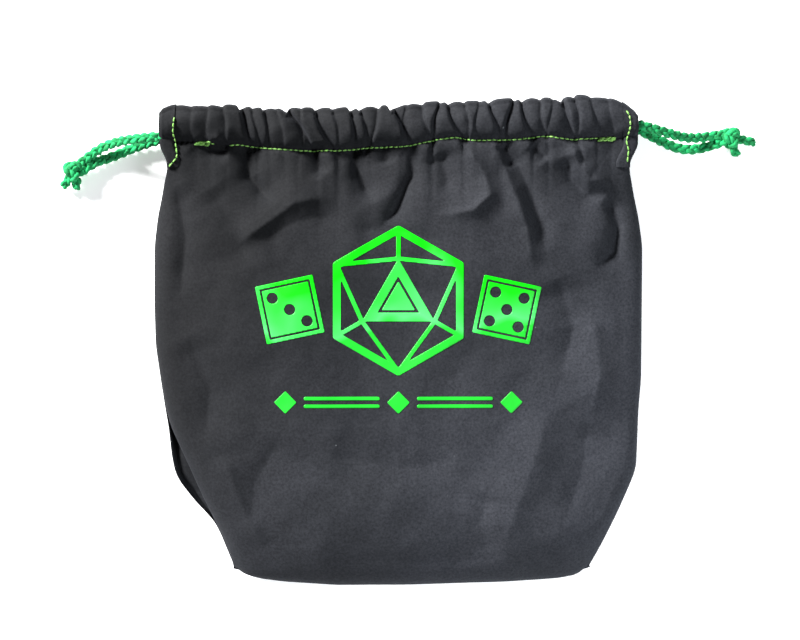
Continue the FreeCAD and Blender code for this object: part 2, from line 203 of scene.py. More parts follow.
def crease(x, y, route, left, right, sharp=0.8):
    """1 on a route and falling away on each side of it, fading out at both ends."""
    best = np.full(x.shape, 1e9)
    width = np.ones(x.shape)
    run = np.zeros(x.shape)
    lengths = [math.dist(a, b) for a, b in zip(route, route[1:])]
    done, total = 0.0, sum(lengths)
    for (ax, ay), (bx, by), n in zip(route, route[1:], lengths):
        dx, dy = (bx - ax) / n, (by - ay) / n
        t = np.clip((x - ax) * dx + (y - ay) * dy, 0, n)
        d = np.hypot(x - ax - t * dx, y - ay - t * dy)
        nearer = d < best
        side = dx * (y - ay) - dy * (x - ax)
        blend = smoothstep(0.5 + side / 4.0)
        best = np.where(nearer, d, best)
        width = np.where(nearer, right + (left - right) * blend, width)
        run = np.where(nearer, (done + t) / total, run)
        done += n
    fade = smoothstep(np.minimum(run * 1.6, 1 - run) / 0.34 + 0.16)
    return fade * np.exp(-(np.sqrt(best ** 2 + sharp ** 2) - sharp) / width)


def mesh(name, points, faces, normals=None):
    data = bpy.data.meshes.new(name)
    data.from_pydata((np.asarray(points) * MM).tolist(), [], faces)
    data.polygons.foreach_set("use_smooth", [True] * len(data.polygons))
    if normals is not None:
        data.normals_split_custom_set_from_vertices(np.asarray(normals).tolist())
    data.update()
    obj = bpy.data.objects.new(name, data)
    bpy.context.scene.collection.objects.link(obj)
    return obj


def grid_normals(p):
    du = np.gradient(p, axis=1)
    dv = np.gradient(p, axis=0)
    n = np.cross(du, dv)
    return n / np.maximum(np.linalg.norm(n, axis=2, keepdims=True), 1e-9)


def shell(name, p, normals, thick, cut=slice(None)):
    """A closed thin sheet: p is rows x columns x 3, with a second face `thick` behind it."""
    p, n = p[:, cut], normals[:, cut]
    rows, cols = p.shape[:2]
    inner = p - n * thick
    points = np.concatenate([p.reshape(-1, 3), inner.reshape(-1, 3)])
    both = np.concatenate([n.reshape(-1, 3), -n.reshape(-1, 3)])
    k = rows * cols
    i = np.arange(k).reshape(rows, cols)
    quads = np.stack([i[:-1, :-1], i[:-1, 1:], i[1:, 1:], i[1:, :-1]], axis=-1).reshape(-1, 4)
    faces = np.concatenate([quads, quads[:, ::-1] + k]).tolist()
    rim = list(i[0, :]) + list(i[1:, -1]) + list(i[-1, -2::-1]) + list(i[-2:0:-1, 0])
    for a, b in zip(rim, rim[1:] + rim[:1]):
        faces.append([int(b), int(a), int(a + k), int(b + k)])
    return mesh(name, points, faces, both)


def tube(points, radius, sides=10, twist=0.0, ply=0.0):
    """Points and faces of a closed tube along a line; ply and twist give it a spun yarn's grooves."""
    line = np.asarray(points, float)
    t = np.gradient(line, axis=0)
    t /= np.linalg.norm(t, axis=1, keepdims=True)
    side = np.cross(t, (0, 0, 1))
    weak = np.linalg.norm(side, axis=1) < 1e-3
    side[weak] = np.cross(t[weak], (0, 1, 0))
    side /= np.linalg.norm(side, axis=1, keepdims=True)
    top = np.cross(side, t)
    run = np.concatenate([[0], np.cumsum(np.linalg.norm(np.diff(line, axis=0), axis=1))])
    angle = np.arange(sides) / sides * 2 * math.pi
    r = np.broadcast_to(radius, (len(line),))[:, None] * (
        1 + ply * np.cos(3 * angle[None, :] - twist * run[:, None]))
    ring = (line[:, None] + side[:, None] * (np.cos(angle)[None, :] * r)[..., None]
            + top[:, None] * (np.sin(angle)[None, :] * r)[..., None])
    points = ring.reshape(-1, 3)
    n = len(line)
    faces = []
    for i in range(n - 1):
        a, b = i * sides, (i + 1) * sides
        faces += [[a + j, a + (j + 1) % sides, b + (j + 1) % sides, b + j] for j in range(sides)]
    faces.append(list(range(sides))[::-1])
    faces.append([(n - 1) * sides + j for j in range(sides)])
    return points, faces


def joined(name, parts):
    points, faces, base = [], [], 0
    for p, f in parts:
        points.append(p)
        faces += [[i + base for i in face] for face in f]
        base += len(p)
    return mesh(name, np.concatenate(points), faces)


# ---------- the front's height ----------

def pleats(x, share):
    """How deep the casing's gathers are; share is 0 at the stitches and 1 at the mouth."""
    total = np.zeros(x.shape)
    for x_top, x_low, depth, width in PLEATS:
        middle = x_low + (x_top - x_low) * share + 0.7 * np.sin(share * 5 + x_low)
        d = x - middle
        steep = width * (0.55 + 0.35 * np.sign(math.sin(7 * x_low)) * np.sign(d))
        strength = 0.7 + 0.45 * np.sin(np.clip(share, 0, 1) * 2.2 + 0.6 * math.sin(x_low))
        total += 0.95 * depth * strength * np.exp(-(np.sqrt(d ** 2 + 0.25) - 0.5) / (1.15 * steep))
    return total


def front_height(x, y, s, from_bottom):
    """Height of the front's outer cloth; s is the share of the half width, -1 to 1."""
    crown = between(CROWN, y, 8)
    seam = between(SEAM_FRONT, y, 4)
    roll = np.sqrt(1 - (1 - np.clip(from_bottom / 46, 0, 1)) ** 2)
    crown = 4.6 + (crown - 4.6) * roll
    seam = 4.6 + (seam - 4.6) * roll
    dome = np.sqrt(np.clip(1 - np.abs(s) ** 3.4, 0, 1))
    z = seam + (crown - seam) * dome
    soft = smoothstep(from_bottom / 22) * smoothstep((1 - np.abs(s)) / 0.12)
    for route, depth, left, right in FOLDS:
        z = z - 1.75 * soft * depth * crease(x, y, route, left, right)
    z = z + soft * (1.5 * noise(x, y, 44, 3) + 1.25 * noise(x, y, 21, 5)
                    + 0.34 * noise(x, y, 9.5, 8) + 0.12 * noise(x, y, 4.2, 11))
    line = between(STITCH_LINE, x, 2.5)
    mouth = between(MOUTH_LINE, x, 3.0)
    share = (y - line) / (mouth - line)
    above = np.clip(share, 0, 1)
    bulge = 4.3 * np.sin(above * math.pi) ** 0.75
    below = np.exp(np.minimum(share, 0) * (mouth - line) / 11.0)
    hang = np.exp(-np.maximum(line - y, 0) / 26) * smoothstep((line - y) / 6)
    ripple = np.sin(x / 4.3 + 1.7 * noise(x, y, 23, 13)) * (0.4 + 0.6 * noise(x, y, 31, 19))
    z = z + soft * hang * 2.0 * ripple
    z = z + bulge - pleats(x, np.clip(share, -0.3, 1)) * np.where(share > 0, 1.0, 0.9 * below)
    z = z + below * 0.35 * noise(x, y, 5.0, 17) * (1 + above)
    near = np.exp(-((y - line) / 1.5) ** 2)
    return z - near * (1.0 + 0.25 * np.sin(x * 2 * math.pi / STITCH_PITCH))


SPREAD = np.linspace(-1, 1, 341)
ACROSS = np.sin(SPREAD * math.pi / 2) * 0.82 + SPREAD * 0.18
CENTRE = len(SPREAD) // 2
LEFT, RIGHT = slice(0, CENTRE + 1), slice(CENTRE, None)


def panel_grid(rows, left_side, top_line):
    """x, y and s of a panel that runs from the bottom edge to top_line."""
    share = np.linspace(0, 1, rows)[:, None]
    share = 0.45 * share ** 2 + 0.55 * share
    s = np.broadcast_to(ACROSS, (rows, len(ACROSS)))
    low = between(BOTTOM, s, 0.03)
    high = between(top_line, s * 103.6, 2.5)
    y = low + share * (high - low)
    xl, xr = between(left_side, y, 3.5), between(RIGHT_SIDE, y, 3.5)
    x = (xl + xr) / 2 + s * (xr - xl) / 2
    return x, y, s, y - low


x, y, s, from_bottom = panel_grid(288, LEFT_SIDE, STITCH_LINE)
front = np.stack([x, y, front_height(x, y, s, from_bottom)], axis=-1)
front_n = grid_normals(front)


# ---------- materials ----------

def nodes_of(name):
    m = bpy.data.materials.new(name)
    m.use_nodes = True
    tree = m.node_tree
    tree.nodes.clear()
    out = tree.nodes.new("ShaderNodeOutputMaterial")
    shader = tree.nodes.new("ShaderNodeBsdfPrincipled")
    tree.links.new(shader.outputs[0], out.inputs[0])
    return m, tree, shader


def add(tree, kind, **values):
    n = tree.nodes.new(kind)
    for k, v in values.items():
        if hasattr(n, k):
            setattr(n, k, v)
        else:
            n.inputs[k.replace("_", " ")].default_value = v
    return n


def ramp(tree, source, stops):
    n = tree.nodes.new("ShaderNodeValToRGB")
    tree.links.new(source, n.inputs[0])
    e = n.color_ramp.elements
    while len(e) < len(stops):
        e.new(0.5)
    for item, (at, colour) in zip(e, stops):
        item.position = at
        item.color = (*colour, 1)
    return n.outputs[0]


def mixed(tree, blend, factor, a, b):
    n = tree.nodes.new("ShaderNodeMix")
    n.data_type = "RGBA"
    n.blend_type = blend
    if isinstance(factor, float):
        n.inputs[0].default_value = factor
    else:
        tree.links.new(factor, n.inputs[0])
    for value, slot in ((a, 6), (b, 7)):
        if isinstance(value, tuple):
            n.inputs[slot].default_value = (*value, 1)
        else:
            tree.links.new(value, n.inputs[slot])
    return n.outputs[2]


def cotton():
    m, tree, shader = nodes_of("black_cotton_weave")
    at = add(tree, "ShaderNodeTexCoord").outputs["Object"]
    fade = add(tree, "ShaderNodeTexNoise", Scale=14.0, Detail=5.0, Roughness=0.6)
    tree.links.new(at, fade.inputs["Vector"])
    colour = ramp(tree, fade.outputs[0], (
        (0.32, (0.0100, 0.0105, 0.0115)), (0.7, (0.0165, 0.017, 0.019))))
    # Painted light: the cloth's colour is multiplied from 0.62 up to about 1.9, and made bluer, towards
    # the lower right (along x and against y). This stands in for light falling brighter on that side of
    # the bag.
    across = add(tree, "ShaderNodeVectorMath", operation="DOT_PRODUCT")
    across.inputs[1].default_value = (0.8, -0.6, 0.0)
    tree.links.new(at, across.inputs[0])
    painted_light_gradient = add(tree, "ShaderNodeMapRange")
    painted_light_gradient.inputs["From Min"].default_value = -0.10
    painted_light_gradient.inputs["From Max"].default_value = 0.10
    tree.links.new(across.outputs["Value"], painted_light_gradient.inputs["Value"])
    painted_light_tone = ramp(tree, painted_light_gradient.outputs[0], ((0.1, (0.62, 0.62, 0.61)), (0.85, (1.85, 1.90, 2.04))))
    colour = mixed(tree, "MULTIPLY", 1.0, colour, painted_light_tone)
    speck = add(tree, "ShaderNodeTexNoise", Scale=900.0, Detail=2.0, Roughness=0.7)
    tree.links.new(at, speck.inputs["Vector"])
    grain = ramp(tree, speck.outputs[0], ((0.3, (0.62, 0.62, 0.64)), (0.72, (1.3, 1.3, 1.3))))
    colour = mixed(tree, "MULTIPLY", 1.0, colour, grain)
    lint = add(tree, "ShaderNodeTexVoronoi", Scale=95.0, Randomness=1.0)
    tree.links.new(at, lint.inputs["Vector"])
    dots = ramp(tree, lint.outputs["Distance"], ((0.035, (1, 1, 1)), (0.055, (0, 0, 0))))
    pick = add(tree, "ShaderNodeTexNoise", Scale=37.0, Detail=1.0)
    tree.links.new(at, pick.inputs["Vector"])
    rare = ramp(tree, pick.outputs[0], ((0.60, (0, 0, 0)), (0.66, (0.5, 0.5, 0.5))))
    dots = mixed(tree, "MULTIPLY", 1.0, dots, rare)
    colour = mixed(tree, "MIX", dots, colour, (0.22, 0.24, 0.25))
    tree.links.new(colour, shader.inputs["Base Color"])
    warp = add(tree, "ShaderNodeTexWave", Scale=700.0, Distortion=1.2, Detail=1.0)
    warp.bands_direction = "X"
    weft = add(tree, "ShaderNodeTexWave", Scale=700.0, Distortion=1.2, Detail=1.0)
    weft.bands_direction = "Y"
    for w in (warp, weft):
        tree.links.new(at, w.inputs["Vector"])
    weave = mixed(tree, "MULTIPLY", 1.0, warp.outputs[0], weft.outputs[0])
    weave = mixed(tree, "ADD", 0.6, weave, speck.outputs[1])
    bump = add(tree, "ShaderNodeBump", Strength=0.55, Distance=0.00016)
    tree.links.new(weave, bump.inputs["Height"])
    tree.links.new(bump.outputs[0], shader.inputs["Normal"])
    shader.inputs["Roughness"].default_value = 0.82
    shader.inputs["Specular IOR Level"].default_value = 0.10
    shader.inputs["Sheen Weight"].default_value = 0.035
    shader.inputs["Sheen Roughness"].default_value = 0.5
    shader.inputs["Sheen Tint"].default_value = (0.8, 0.85, 1.0, 1)
    return m


def yarn(name, dark, bright, scale, rough, sheen):
    m, tree, shader = nodes_of(name)
    at = add(tree, "ShaderNodeTexCoord").outputs["Object"]
    tone = add(tree, "ShaderNodeTexNoise", Scale=scale, Detail=6.0, Roughness=0.65)
    tree.links.new(at, tone.inputs["Vector"])
    colour = ramp(tree, tone.outputs[0], ((0.3, dark), (0.7, bright)))
    tree.links.new(colour, shader.inputs["Base Color"])
    hair = add(tree, "ShaderNodeTexNoise", Scale=scale * 4, Detail=3.0, Roughness=0.7)
    tree.links.new(at, hair.inputs["Vector"])
    bump = add(tree, "ShaderNodeBump", Strength=0.7, Distance=0.0003)
    tree.links.new(hair.outputs[0], bump.inputs["Height"])
    tree.links.new(bump.outputs[0], shader.inputs["Normal"])
    shader.inputs["Roughness"].default_value = rough
    shader.inputs["Sheen Weight"].default_value = sheen
    shader.inputs["Sheen Roughness"].default_value = 0.4
    return m


def print_film():
    m, tree, shader = nodes_of("green_print_film")
    at = add(tree, "ShaderNodeTexCoord").outputs["Object"]
    split = add(tree, "ShaderNodeSeparateXYZ")
    tree.links.new(at, split.inputs[0])
    wobble = add(tree, "ShaderNodeTexNoise", Scale=22.0, Detail=2.0)
    tree.links.new(at, wobble.inputs["Vector"])
    down = add(tree, "ShaderNodeMapRange")
    down.inputs["From Min"].default_value = 0.060
    down.inputs["From Max"].default_value = -0.034
    tree.links.new(split.outputs[1], down.inputs["Value"])
    mix = add(tree, "ShaderNodeMath", operation="MULTIPLY_ADD")
    tree.links.new(wobble.outputs[0], mix.inputs[0])
    mix.inputs[1].default_value = 0.9
    tree.links.new(down.outputs[0], mix.inputs[2])
    colour = ramp(tree, mix.outputs[0], (
        (0.50, (0.0, 0.62, 0.0)), (0.78, (0.0, 0.52, 0.0)), (0.95, (0.06, 0.55, 0.11)),
        (1.0, (0.01, 0.42, 0.02))))
    tree.links.new(colour, shader.inputs["Base Color"])
    grain = add(tree, "ShaderNodeTexNoise", Scale=1400.0, Detail=2.0)
    tree.links.new(at, grain.inputs["Vector"])
    bump = add(tree, "ShaderNodeBump", Strength=0.25, Distance=0.00012)
    tree.links.new(grain.outputs[0], bump.inputs["Height"])
    tree.links.new(bump.outputs[0], shader.inputs["Normal"])
    shader.inputs["Roughness"].default_value = 0.48
    shader.inputs["Specular IOR Level"].default_value = 0.22
    return m


COTTON = cotton()
THREAD = yarn("green_thread_twist", (0.03, 0.20, 0.01), (0.36, 0.70, 0.15), 1500.0, 0.45, 0.1)
CORD_YARN = yarn("green_cord_yarn", (0.0, 0.10, 0.022), (0.002, 0.42, 0.12), 420.0, 0.9, 0.0)
FILM = print_film()


def finish_piece(obj, material, nodes, body="bag", side=0):
    """side is -1 or 1 for cloth at that mouth end; such a piece is baked in place rather than attached
    to a body.
    """
    obj.data.materials.append(material)
    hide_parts(*nodes)
    if side:
        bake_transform(obj)
    else:
        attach(obj, body)
    return obj


SIDES = ((-1, "left", LEFT), (1, "right", RIGHT))

for side, word, cut in SIDES:
    piece = shell(f"front_panel_cloth_{word}", front, front_n, CLOTH, cut)
    finish_piece(piece, COTTON, ["front_panel"], side=side)


# ---------- back and base ----------

BASE_FOLD_Y = -42.0
BACK_STITCH_LINE = ((-106, 89.6), (-60, 89), (0, 88.8), (50, 89.6), (106, 89.6))


def back_height(x, y, s, from_bottom):
    seam = between(SEAM_BACK, y, 4)
    roll = np.sqrt(1 - (1 - np.clip(from_bottom / 30, 0, 1)) ** 2)
    seam = 4.4 + (seam - 4.4) * roll
    floor = 0.35 + 4.05 * (1 - np.sqrt(1 - (1 - np.clip(from_bottom / 9, 0, 1)) ** 2))
    floor = floor + 1.0 * smoothstep((y - 70) / 12)
    dome = np.sqrt(np.clip(1 - np.abs(s) ** 7.5, 0, 1))
    z = seam - (seam - floor) * dome
    lift = smoothstep((1 - np.abs(s)) / 0.1)
    z = z + lift * (0.5 + 0.5 * noise(x, y, 24, 23)) * 0.8
    z = z + lift * 0.25 * (1 + noise(x + 0.4 * y, y, 9, 29))
    for px, w in ((-80, 5), (-58, 4), (-31, 5), (-8, 4), (16, 5), (44, 4), (66, 5), (85, 4)):
        top = np.exp(-(88 - y) / 16.0)
        z = z + lift * top * 1.7 * np.exp(-((x - px - 0.1 * (88 - y)) / w) ** 2)
    fold = np.exp(-((y - BASE_FOLD_Y) / 0.9) ** 2) * (np.abs(x) < 84)
    z = z + 0.5 * fold * lift
    for edge in (-79, 79):
        z = z + lift * 0.6 * np.exp(-((x - edge) / 0.9) ** 2) * (y < BASE_FOLD_Y)
    return z


x, y, s, from_bottom = panel_grid(230, GUSSET_SIDE + LEFT_SIDE[8:], BACK_STITCH_LINE)
back = np.stack([x, y, back_height(x, y, s, from_bottom)], axis=-1)
back_n = -grid_normals(back)
seam_row = int(np.argmin(np.abs(back[:, CENTRE, 1] - BASE_FOLD_Y)))
for side, word, cut in SIDES:
    flipped = back[seam_row:, cut][:, ::-1]
    piece = shell(f"back_panel_cloth_{word}", flipped, back_n[seam_row:, cut][:, ::-1], CLOTH)
    finish_piece(piece, COTTON, ["back_panel"], side=side)

base_piece = shell("base_panel_cloth", back[:seam_row + 1, ::-1], back_n[:seam_row + 1, ::-1], CLOTH)


def gusset():
    """The boxed corner's cloth that shows beside the front's fold at the lower left."""
    t = np.linspace(0, 1, 60)[:, None]
    w = np.linspace(0, 1, 26)[None, :]
    y = -98 + 62 * t + 0 * w
    outer = between(GUSSET_SIDE, y, 2.0)
    inner = between(LEFT_SIDE, y, 3.5) + 5.0
    curl = 1 - (1 - w) ** 2.2
    x = outer + (inner - outer) * curl
    z = 7.0 + 5.0 * w ** 0.8 + 0.5 * noise(x, y, 7, 41)
    z = z - 1.3 * crease(x, y, ((-99, -60.4), (-93, -64.4), (-84, -69)), 1.3, 2.0)
    z = z * smoothstep((y + 104) / 20)
    return np.stack([x, y, np.maximum(z, 1.6)], axis=-1)


g = gusset()
flap = shell("gusset_flap", g, grid_normals(g), CLOTH)
with bpy.context.temp_override(active_object=base_piece, selected_editable_objects=[base_piece, flap]):
    bpy.ops.object.join()
finish_piece(base_piece, COTTON, ["base_panel"])


# ---------- casings and hems ----------

def casing_loop(xs, front_side, grow=0.0):
    """A tunnel's cloth, row by row from the stitches over the mouth's edge and back inside."""
    line = between(STITCH_LINE if front_side else BACK_STITCH_LINE, xs, 2.5)
    mouth = between(MOUTH_LINE, xs, 3.0)
    top_pleat = pleats(xs, np.ones(xs.shape))
    mouth = mouth + 0.7 - 0.66 * top_pleat + 0.6 * noise(xs, xs * 0, 6, 51)
    if not front_side:
        mouth = mouth - 1.6
    rows = []
    n_out, n_edge, n_in = 34, 11, 26
    edge_r = 2.6
    half = 103.6
    s = np.clip(xs / half, -1, 1)
    far = np.full(xs.shape, 200.0)
    y_end = mouth - edge_r
    outer_end = front_height(xs, y_end, s * 0.985, far)
    inner_z = np.full(xs.shape, 13.4) + 0.5 * top_pleat
    for i in range(n_out):
        share = i / (n_out - 1)
        y = line + (y_end - line) * share
        rows.append((y, front_height(xs, y, s * 0.985, far)))
    for i in range(1, n_edge + 1):
        a = math.pi / 2 - math.pi * i / (n_edge + 1)
        middle = (outer_end + inner_z) / 2
        z = middle + (outer_end - inner_z) / 2 * math.sin(a)
        rows.append((y_end + edge_r * math.cos(a) ** 0.8, z))
    start = front_height(xs, line, s * 0.985, far) - 1.5
    for i in range(n_in):
        share = i / (n_in - 1)
        y = y_end + (line - y_end) * share
        belly = inner_z - 0.7 * math.sin(share * math.pi) + 0.3 * noise(xs, y, 7, 61)
        rows.append((y, belly + (start - belly) * smoothstep(np.float64(share * 1.6 - 0.6))))
    y = np.array([r[0] for r in rows])
    z = np.array([r[1] for r in rows])
    if grow:
        cy, cz = y.mean(axis=0), z.mean(axis=0)
        length = np.hypot(y - cy, z - cz)
        y, z = y + (y - cy) / length * grow, z + (z - cz) / length * grow
    if not front_side:
        z = np.maximum(23.4 - z, 0.5)
    return np.stack([np.broadcast_to(xs, y.shape), y, z], axis=-1)


def ring_shell(name, loop, thick, flip, cut=slice(None)):
    """A closed tunnel whose first and last rows meet, open at both ends, with wall `thick`."""
    n = grid_normals(loop)
    if flip:
        n = -n
    p, n = loop[:, cut], n[:, cut]
    if flip:
        p, n = p[:, ::-1], n[:, ::-1]
    return shell(name, p, n, thick)


casing_x = np.linspace(-101.2, 101.4, 501)
middle = int(np.argmin(np.abs(casing_x)))
casing_x[middle] = 0.0
HALVES = ((-1, "left", slice(0, middle + 1)), (1, "right", slice(middle, None)))
front_loop = casing_loop(casing_x, True)
back_loop = casing_loop(casing_x, False)
for side, word, cut in HALVES:
    piece = ring_shell(f"front_casing_cloth_{word}", front_loop, 0.6, False, cut)
    finish_piece(piece, COTTON, ["front_casing"], side=side)
    piece = ring_shell(f"back_casing_cloth_{word}", back_loop, 0.6, True, cut)
    finish_piece(piece, COTTON, ["back_casing"], side=side)


def hem(side, word, front_side):
    """The folded edge at a casing's end, with the strip that runs down the slit."""
    a, b = (99.8, 106.6) if side > 0 else (99.2, 106.4)
    xs = np.linspace(a, b, 26)
    xs = np.sort(side * xs)
    loop = casing_loop(xs, front_side, 0.55)
    edge = smoothstep((b - np.abs(loop[..., 0])) / 1.6)
    cy, cz = loop[..., 1].mean(axis=0), loop[..., 2].mean(axis=0)
    k = 0.86 + 0.14 * edge
    loop[..., 1] = cy + (loop[..., 1] - cy) * k
    loop[..., 2] = cz + (loop[..., 2] - cz) * k
    loop[..., 2] = np.maximum(loop[..., 2], 0.35)
    flip = not front_side
    piece = ring_shell(f"{word}_{'front' if front_side else 'back'}_hem_cloth", loop, 0.7, flip)
    y = np.linspace(SLIT_Y - 0.6, 93.5, 40)[:, None]
    edge_x = between(LEFT_SIDE if side < 0 else RIGHT_SIDE, y, 2.0)
    out = np.abs(edge_x) + 0.3 + 2.4 * smoothstep((y - 81) / 9)
    w = np.linspace(0, 1, 22)[None, :]
    x = side * (out - 6.4 + 6.4 * w) + 0 * y
    top = between(SEAM_FRONT, y, 4) + 1.2
    rise = 1.3 * np.sqrt(np.clip(1 - np.abs(2 * w - 1) ** 4, 0, 1))
    z = (top if front_side else 23.4 - top) + (1 if front_side else -1) * rise
    z = z + 0.25 * noise(x, y, 5, 71)
    strip = np.stack([x, y + 0 * x, z], axis=-1)
    if side < 0:
        strip = strip[:, ::-1]
    n = grid_normals(strip)
    if flip:
        strip, n = strip[:, ::-1], -n[:, ::-1]
    extra = shell("slit_strip", strip, n, 0.9)
    with bpy.context.temp_override(active_object=piece, selected_editable_objects=[piece, extra]):
        bpy.ops.object.join()
    node = f"{word}_{'front' if front_side else 'back'}_hem"
    return finish_piece(piece, COTTON, [node], side=side)


for side, word in ((-1, "left"), (1, "right")):
    for front_side in (True, False):
        hem(side, word, front_side)


# ---------- seam allowances inside ----------

def allowance(name, node, points, width, side, draw=0):
    """Two raw edges lying together along an inside seam, slightly wavy."""
    line = np.array(points, float)
    run = np.concatenate([[0], np.cumsum(np.linalg.norm(np.diff(line, axis=0), axis=1))])
    at = np.linspace(0, run[-1], 90)
    path = np.stack([np.interp(at, run, line[:, k]) for k in range(3)], axis=1)
    w = np.linspace(0, 1, 10)[None, :]
    t = np.gradient(path, axis=0)
    t /= np.linalg.norm(t, axis=1, keepdims=True)
    away = np.cross(t, (0, 0, 1)) * side
    p = path[:, None] + away[:, None] * (w * width)[..., None]
    p[..., 2] += 0.5 * noise(p[..., 0], p[..., 1], 9, 81) * w
    piece = shell(name, p, grid_normals(p), 1.3)
    return finish_piece(piece, COTTON, [node], side=draw)


for side, word in ((-1, "left"), (1, "right")):
    allowance(f"{word}_side_raw_edges", f"{word}_side_seam_allowance",
              ((side * 101.0, -34, 11.6), (side * 104.8, -10, 11.6), (side * 107, 20, 11.6),
               (side * 107, 42, 11.6), (side * 103.2, 72, 11.6)),
              7.0, -side, side)
    allowance(f"{word}_corner_raw_edges", f"{word}_corner_seam_allowance",
              ((side * 78, -82, 3.4), (side * 78, -46, 3.4)), 7.0, -side)
allowance("bottom_raw_edges", "bottom_seam_allowance", ((-66, -103, 5.6), (66, -102, 5.6)), 6.0, -1)


# ---------- stitches ----------

def surface_z(x, y):
    """Height of the front's outer cloth at a point of the casing or panel."""
    x, y = np.atleast_1d(np.float64(x)), np.atleast_1d(np.float64(y))
    xl, xr = between(LEFT_SIDE, y, 3.5), between(RIGHT_SIDE, y, 3.5)
    s = (x - (xl + xr) / 2) / ((xr - xl) / 2)
    s = np.clip(s, -0.985, 0.985)
    return front_height(x, y, s, np.full(x.shape, 200.0) if y.min() > 60 else y + 108.2)


def stitch(a, b, fat):
    """One stitch of twisted thread, sunk at both ends."""
    a, b = np.asarray(a, float), np.asarray(b, float)
    t = np.linspace(0, 1, 9)
    line = a + (b - a) * t[:, None]
    line[:, 2] += 0.30 * np.sin(t * math.pi) - 0.12
    return tube(line, fat * (0.45 + 0.55 * np.sin(t * math.pi) ** 0.5), 8, twist=3.2, ply=0.1)


def stitches(points, pitch, fat, long=0.84, skip=()):
    """Stitches along a line of 3-D points."""
    line = np.asarray(points, float)
    run = np.concatenate([[0], np.cumsum(np.linalg.norm(np.diff(line, axis=0), axis=1))])
    count = int(run[-1] / pitch)
    jig = np.random.RandomState(7).uniform(-1, 1, (count, 3))
    parts = []
    for i in range(count):
        ends = []
        for share in (0.5 - long / 2, 0.5 + long / 2):
            at = (i + share) * pitch
            ends.append([np.interp(at, run, line[:, k]) for k in range(3)])
        ends = np.array(ends)
        ends[0, 1] += 0.10 * jig[i, 0]
        ends[1, 1] += 0.10 * jig[i, 1]
        if any(lo < ends[0, 0] < hi for lo, hi in skip):
            continue
        parts.append(stitch(ends[0], ends[1], fat * (1 + 0.12 * jig[i, 2])))
    return parts


def casing_row(front_side, side):
    """Half of the row of stitches under a casing."""
    xs = np.linspace(0.0, side * (94.0 if side > 0 else 91.5), 240)
    y = between(STITCH_LINE if front_side else BACK_STITCH_LINE, xs, 2.5) - 0.2
    z = surface_z(xs, y) + 0.12 if front_side else np.maximum(back_z(xs, y) - 0.1, 0.35)
    gaps = ((-80.2, -75.4),) if front_side else ()
    return stitches(np.stack([xs, y, z], axis=1), STITCH_PITCH, THREAD_RADIUS, skip=gaps)


def back_z(x, y):
    s = np.clip(x / 103.6, -0.985, 0.985)
    return back_height(x, y, s, np.full(x.shape, 200.0))


def backtack(front_side, side):
    """A few stitches sewn over each other where the row ends."""
    lo, hi = (88.6, 97.4) if side > 0 else (-91.0, -82.5)
    parts = []
    runs = ((-0.45, 0.9), (0.0, 1.2), (0.45, 1.0), (-0.1, -0.5), (0.75, 0.4))
    for i, (dy, tilt) in enumerate(runs):
        xs = np.linspace(lo + 0.5 * i, hi - 0.3 * i, 14)
        line = STITCH_LINE if front_side else BACK_STITCH_LINE
        y = between(line, xs, 2.5) + dy + tilt * (xs - lo) / (hi - lo) * 0.9 - 0.9
        if front_side:
            z = surface_z(xs, y) + 0.28 + 0.12 * (i % 2)
        else:
            z = np.maximum(back_z(xs, y) - 0.15, 0.35)
        parts += stitches(np.stack([xs, y, z], axis=1), 2.9, 0.42, 0.97)
    return parts


for side, word in ((-1, "left"), (1, "right")):
    for front_side, face in ((True, "front"), (False, "back")):
        row = joined(f"{face}_topstitch_{word}", casing_row(front_side, side))
        finish_piece(row, THREAD, [f"{face}_casing_topstitch"], side=side)
        tack = joined(f"{face}_backtack_{word}", backtack(front_side, side))
        finish_piece(tack, THREAD, [f"{face}_casing_backtacks"], side=side)

HEM_ROWS = {
    -1: ((-102.2, 79.6), (-98.8, 83.2), (-98.2, 87), (-100.0, 94.3), (-99.4, 100.6), (-98, 105.4)),
    1: ((101.8, 81.6), (102.4, 87.3), (101.2, 90.7), (102.8, 96.8), (102.6, 101.6), (100.4, 105.6)),
}


def top_under(objects, x, y, down=True):
    """Where a vertical ray meets these pieces first."""
    best = None
    for o in objects:
        start = Vector((x * MM, y * MM, 0.08 if down else -0.02))
        hit, at, _, _ = o.ray_cast(start, Vector((0, 0, -1 if down else 1)))
        if hit and (best is None or (at.z > best) == down):
            best = at.z
    return None if best is None else best / MM


bpy.context.view_layer.update()
for side, word in ((-1, "left"), (1, "right")):
    parts = []
    for face, down in (("front", True), ("back", False)):
        cloth = [bpy.data.objects[f"{word}_{face}_hem_cloth"]]
        route = np.array(HEM_ROWS[side], float)
        at = np.linspace(0, 1, 60)
        keys = np.linspace(0, 1, len(route))
        line = []
        for xx, yy in zip(np.interp(at, keys, route[:, 0]), np.interp(at, keys, route[:, 1])):
            z = top_under(cloth, xx, yy, down)
            if z is not None:
                line.append((xx, yy, z + 0.10 if down else max(z - 0.05, 0.35)))
        parts += stitches(line, STITCH_PITCH, THREAD_RADIUS)
    row = joined(f"{word}_hem_stitches", parts)
    finish_piece(row, THREAD, [f"{word}_hem_topstitch"], side=side)


# ---------- print ----------

def stroke(px, py, a, b, width):
    ax, ay = a
    bx, by = b
    dx, dy = bx - ax, by - ay
    t = np.clip(((px - ax) * dx + (py - ay) * dy) / (dx * dx + dy * dy), 0, 1)
    return np.hypot(px - ax - t * dx, py - ay - t * dy) - width / 2


def inside_polygon(px, py, points):
    """Signed distance to a convex polygon given counter-clockwise."""
    worst = np.full(px.shape, -1e9)
    for (ax, ay), (bx, by) in zip(points, points[1:] + points[:1]):
        n = math.hypot(bx - ax, by - ay)
        worst = np.maximum(worst, ((by - ay) * (px - ax) - (bx - ax) * (py - ay)) / n)
    return worst


def polygon(cx, cy, r, n, turn):
    return [(cx + r * math.cos(math.radians(turn + 360 * i / n)),
             cy + r * math.sin(math.radians(turn + 360 * i / n))) for i in range(n)]


